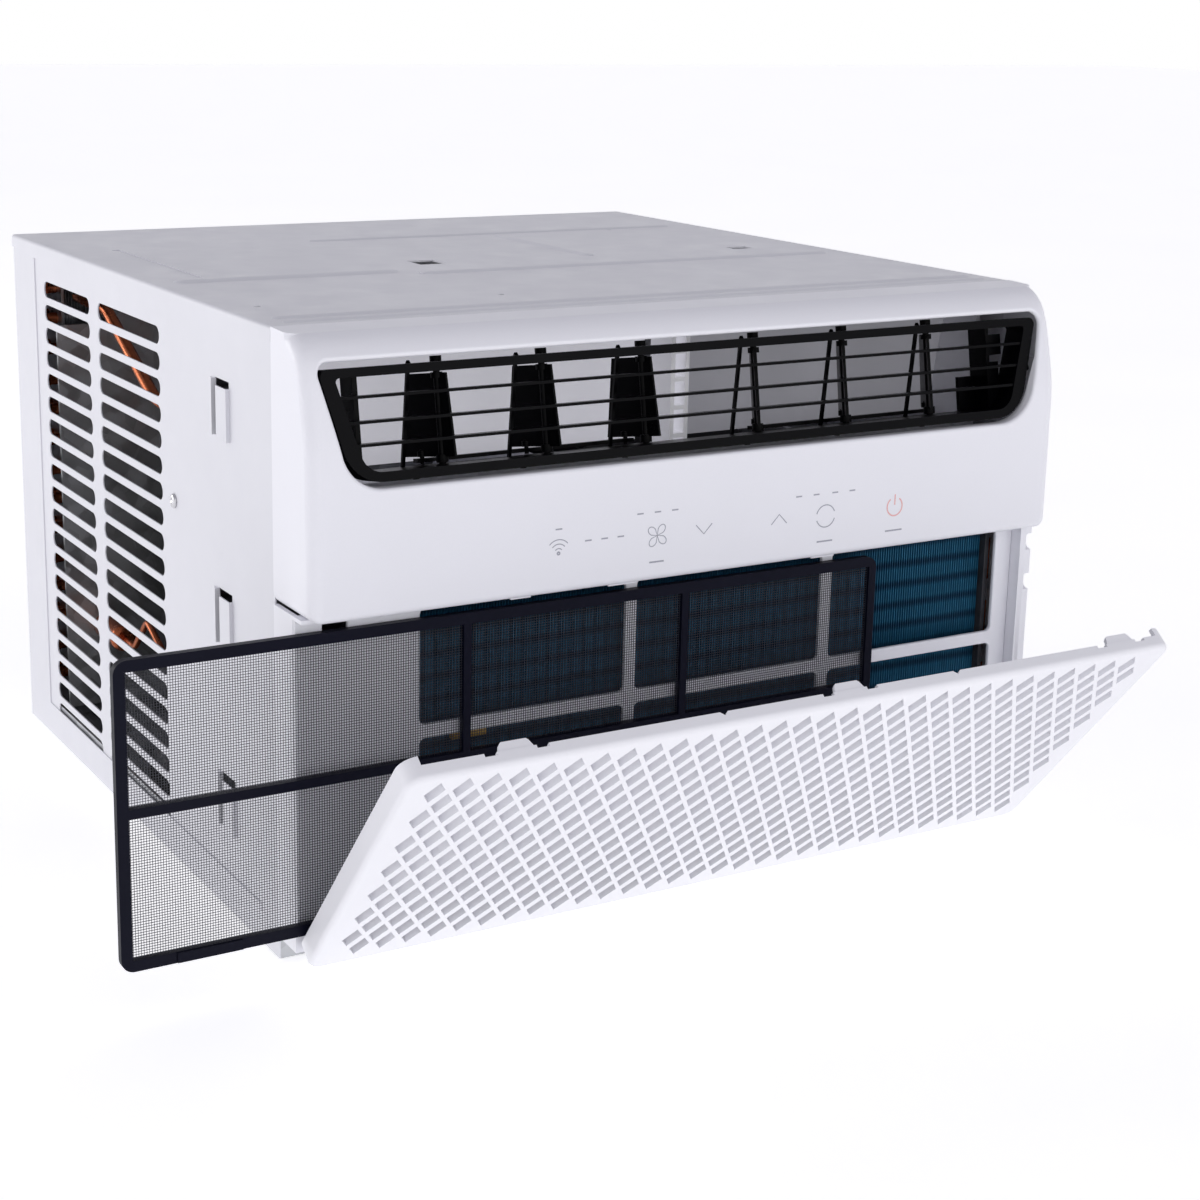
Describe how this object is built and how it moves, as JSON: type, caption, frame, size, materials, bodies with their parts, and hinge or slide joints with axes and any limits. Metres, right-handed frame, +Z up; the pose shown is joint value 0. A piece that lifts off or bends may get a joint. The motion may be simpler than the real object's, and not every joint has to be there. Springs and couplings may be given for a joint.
{
  "type": "window air conditioner",
  "caption": "Compact window air conditioner: steel cabinet with louvred sides, white front with air louvres, tilt-open intake grille and slide-out air filter.",
  "frame": {"origin": "middle of the cabinet's flat underside (bezel and cabinet together 500 mm deep, 480 mm wide)", "axes": "+X to the user's right, -Y towards the room (front bezel), +Y outdoors, +Z up"},
  "size_m": [0.5778, 0.6091, 0.3407],
  "materials": {
    "cabinet_steel": "satin powder coat",
    "galvanised_steel": "spangled zinc",
    "bezel_white": "fine satin",
    "grille_white": "fine satin",
    "louver_black": "semi-gloss",
    "filter_frame_dark": "satin",
    "filter_net": "woven nylon net",
    "duct_grey": "moulded",
    "fan_plastic": "moulded",
    "pin_steel": "turned",
    "screw_zinc": "zinc plate",
    "motor_metal": "satin",
    "coil_blue": "blue hydrophilic coating",
    "coil_aluminium": "mill",
    "copper": "drawn copper",
    "compressor_black": "satin",
    "rubber_black": "matte",
    "board_green": "coated board",
    "film_clear": "film",
    "sensor_resin": "resin"
  },
  "bodies": {
    "cabinet": {"accumulator": "compressor_black", "air_sensor": "sensor_resin", "base_pan": "galvanised_steel", "blower_inlet_ring": "duct_grey", "blower_scroll": "duct_grey", "bulkhead": "galvanised_steel", "cabinet_screws": "screw_zinc", "capillary_tube": "copper", "compressor": "compressor_black", "compressor_bolts": "pin_steel", "compressor_grommets": "rubber_black", "condenser_end_plates": "galvanised_steel", "condenser_fins": "coil_aluminium", "condenser_shroud": "galvanised_steel", "condenser_tubes": "copper", "control_board": "board_green", "cord_gland": "rubber_black", "discharge_duct": "duct_grey", "discharge_line": "copper", "drain_plug": "rubber_black", "duct_center_rib": "duct_grey", "electrical_box": "galvanised_steel", "evaporator_drip_tray": "duct_grey", "evaporator_end_plates": "galvanised_steel", "evaporator_fins": "coil_blue", "evaporator_tubes": "copper", "fan_motor": "motor_metal", "filter_drier": "copper", "front_bezel": "bezel_white", "grille_hinge_pins": "pin_steel", "intake_frame": "bezel_white", "left_side_panel": "cabinet_steel", "motor_bracket": "galvanised_steel", "rear_frame": "cabinet_steel", "rear_screws": "screw_zinc", "right_side_panel": "cabinet_steel", "run_capacitor": "motor_metal", "suction_line": "copper", "top_panel": "cabinet_steel", "touch_film": "film_clear"},
    "rotor": {"motor_shaft": "pin_steel", "blower_wheel": "fan_plastic", "condenser_fan": "fan_plastic"},
    "louver": {"louver_frame": "louver_black"},
    "grille": {"front_grille": "grille_white", "grille_rim": "grille_white", "grille_latch_tabs": "grille_white"},
    "filter": {"filter_frame": "filter_frame_dark", "filter_mesh": "filter_net"},
    "left_link": {"left_link_bar": "louver_black"},
    "right_link": {"right_link_bar": "louver_black"},
    "left_vane_1": {"left_vane_1": "louver_black"},
    "left_vane_2": {"left_vane_2": "louver_black"},
    "left_vane_3": {"left_vane_3": "louver_black"},
    "right_vane_1": {"right_vane_1": "louver_black"},
    "right_vane_2": {"right_vane_2": "louver_black"},
    "right_vane_3": {"right_vane_3": "louver_black"}
  },
  "joints": [
    {"name": "fan_spin", "type": "hinge", "parent": "cabinet", "child": "rotor", "pos_m": [0.028, 0, 0.176], "axis": [0, 1, 0], "continuous": true},
    {"name": "louver_tilt", "type": "hinge", "parent": "cabinet", "child": "louver", "pos_m": [0, -0.23034, 0.2915], "axis": [1, 0, 0], "range_deg": [-8, 8]},
    {"name": "grille_tilt", "type": "hinge", "parent": "cabinet", "child": "grille", "pos_m": [0, -0.2442, 0.0261], "axis": [1, 0, 0], "range_deg": [-40, 0]},
    {"name": "filter_slide", "type": "slide", "parent": "cabinet", "child": "filter", "axis": [1, 0, 0], "range_m": [-0.1, 0.1065]},
    {"name": "left_vane_1_turn", "type": "hinge", "parent": "louver", "child": "left_vane_1", "pos_m": [-0.154, -0.21834, 0.29047], "axis": [0, 0.1678, 0.9858], "range_deg": [-60, 16]},
    {"name": "left_vane_2_turn", "type": "hinge", "parent": "louver", "child": "left_vane_2", "pos_m": [-0.092, -0.21834, 0.29047], "axis": [0, 0.1678, 0.9858], "range_deg": [-60, 16]},
    {"name": "left_vane_3_turn", "type": "hinge", "parent": "louver", "child": "left_vane_3", "pos_m": [-0.03, -0.21834, 0.29047], "axis": [0, 0.1678, 0.9858], "range_deg": [-60, 16]},
    {"name": "left_link_swing", "type": "hinge", "parent": "left_vane_1", "child": "left_link", "pos_m": [-0.15924, -0.20929, 0.26626], "axis": [0, 0.1678, 0.9858], "range_deg": [-16, 60]},
    {"name": "right_vane_1_turn", "type": "hinge", "parent": "louver", "child": "right_vane_1", "pos_m": [0.044, -0.21834, 0.29047], "axis": [0, 0.1678, 0.9858], "range_deg": [-8, 68]},
    {"name": "right_vane_2_turn", "type": "hinge", "parent": "louver", "child": "right_vane_2", "pos_m": [0.1055, -0.21834, 0.29047], "axis": [0, 0.1678, 0.9858], "range_deg": [-8, 68]},
    {"name": "right_vane_3_turn", "type": "hinge", "parent": "louver", "child": "right_vane_3", "pos_m": [0.167, -0.21834, 0.29047], "axis": [0, 0.1678, 0.9858], "range_deg": [-8, 68]},
    {"name": "right_link_swing", "type": "hinge", "parent": "right_vane_1", "child": "right_link", "pos_m": [0.051, -0.21014, 0.26641], "axis": [0, 0.1678, 0.9858], "range_deg": [-68, 8]}
  ],
  "couplings": [
    {"joint": "left_vane_2_turn", "follows": "left_vane_1_turn", "ratio": 1},
    {"joint": "left_vane_3_turn", "follows": "left_vane_1_turn", "ratio": 1},
    {"joint": "left_link_swing", "follows": "left_vane_1_turn", "ratio": -1},
    {"joint": "right_vane_2_turn", "follows": "right_vane_1_turn", "ratio": 1},
    {"joint": "right_vane_3_turn", "follows": "right_vane_1_turn", "ratio": 1},
    {"joint": "right_link_swing", "follows": "right_vane_1_turn", "ratio": -1}
  ]
}
